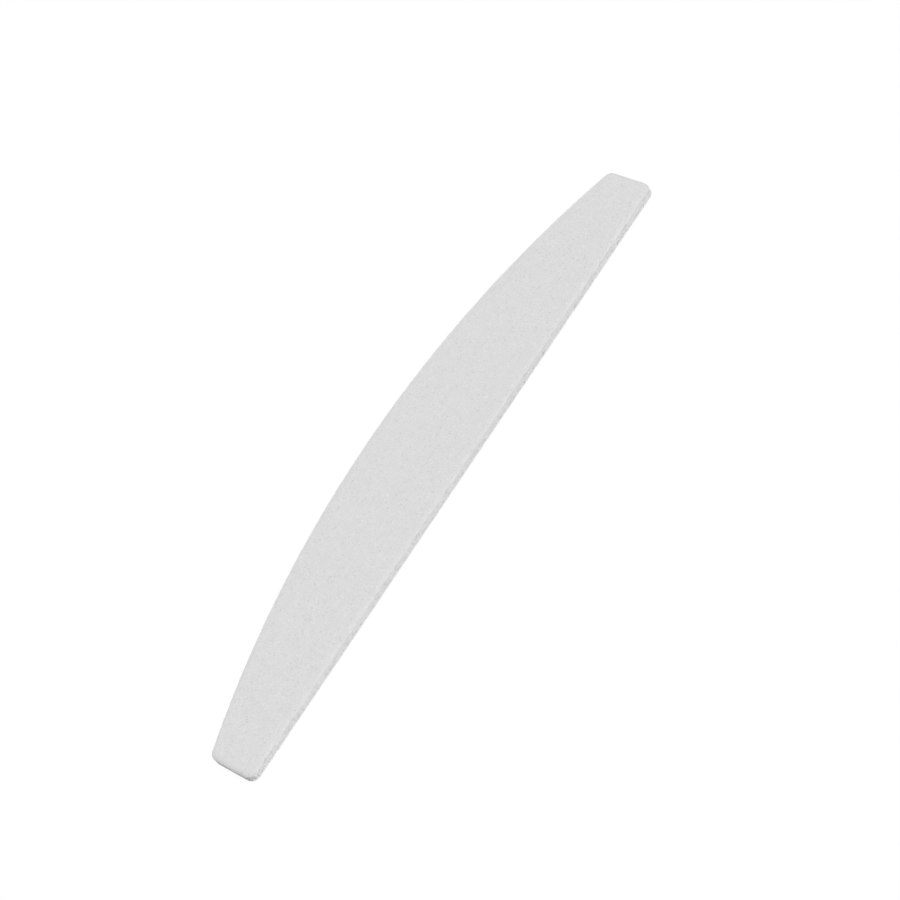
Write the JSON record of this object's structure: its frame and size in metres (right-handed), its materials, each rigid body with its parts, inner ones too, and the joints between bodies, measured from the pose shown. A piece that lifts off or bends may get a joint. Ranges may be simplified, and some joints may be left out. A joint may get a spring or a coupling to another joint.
{
  "type": "emery board",
  "caption": "Half-moon cushioned nail file: a flat laminated board with one straight and one arched long edge, short cut ends and an abrasive coat on each face.",
  "frame": {"origin": "middle of the box that the board fills, at the level of the face it lies on", "axes": "+X along the straight edge, +Y across the board from the straight edge towards the arched edge, +Z out of the finer abrasive face"},
  "size_m": [0.178, 0.028, 0.0028],
  "materials": {
    "fine_grit": "matte, finely granular",
    "coarse_grit": "matte, coarsely granular",
    "backing_paper": "matte, fibrous at the cut",
    "adhesive": "slightly glossy film",
    "foam": "matte, fine closed cells",
    "core": "satin, cut with a steel rule"
  },
  "bodies": {
    "root": {"bottom_grit_coat": "coarse_grit", "bottom_backing_paper": "backing_paper", "bottom_outer_adhesive": "adhesive", "bottom_foam_cushion": "foam", "bottom_inner_adhesive": "adhesive", "core_board": "core", "top_inner_adhesive": "adhesive", "top_foam_cushion": "foam", "top_outer_adhesive": "adhesive", "top_backing_paper": "backing_paper", "top_grit_coat": "fine_grit"}
  },
  "joints": []
}
